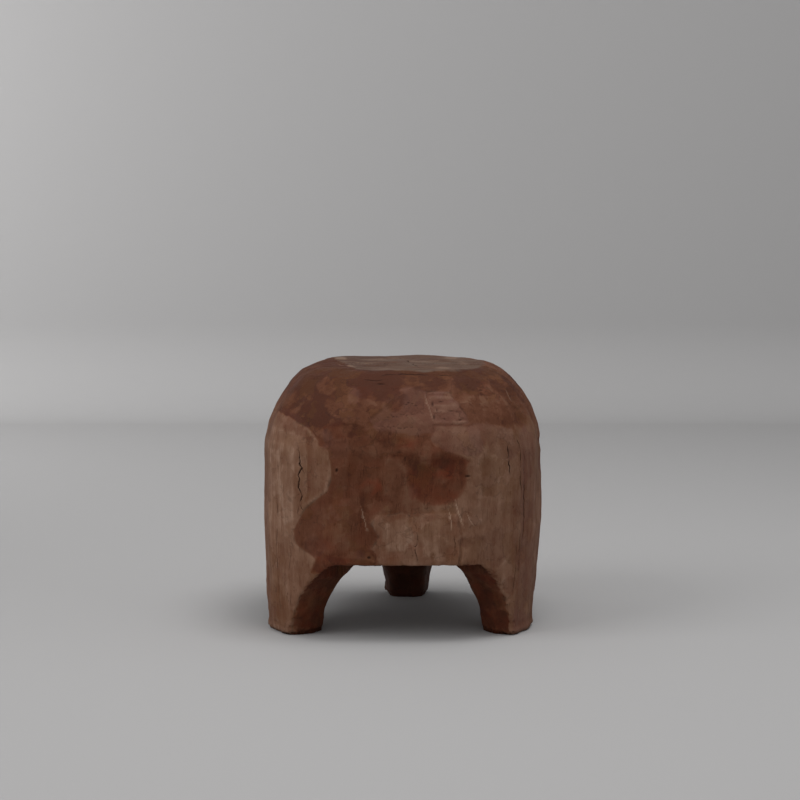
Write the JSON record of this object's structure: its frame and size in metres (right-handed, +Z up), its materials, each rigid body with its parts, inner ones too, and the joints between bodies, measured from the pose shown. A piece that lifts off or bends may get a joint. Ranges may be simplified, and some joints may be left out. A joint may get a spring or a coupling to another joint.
{
  "type": "carved stool",
  "caption": "Low solid wooden stool hewn from one log, with a domed block seat on short flared legs and arched openings between them.",
  "frame": {"origin": "on the floor, at the middle of the stool's bounding box", "axes": "+Z up; -Y towards the front, the side with two legs; +X along the stool's width, to the right seen from the front"},
  "size_m": [0.396, 0.378, 0.371],
  "materials": {
    "hewn_wood": "old hand-hewn hardwood, oiled and worn, reddish brown"
  },
  "bodies": {
    "root": {"seat_block": "hewn_wood", "front_left_leg": "hewn_wood", "front_right_leg": "hewn_wood", "rear_leg": "hewn_wood"}
  },
  "joints": []
}
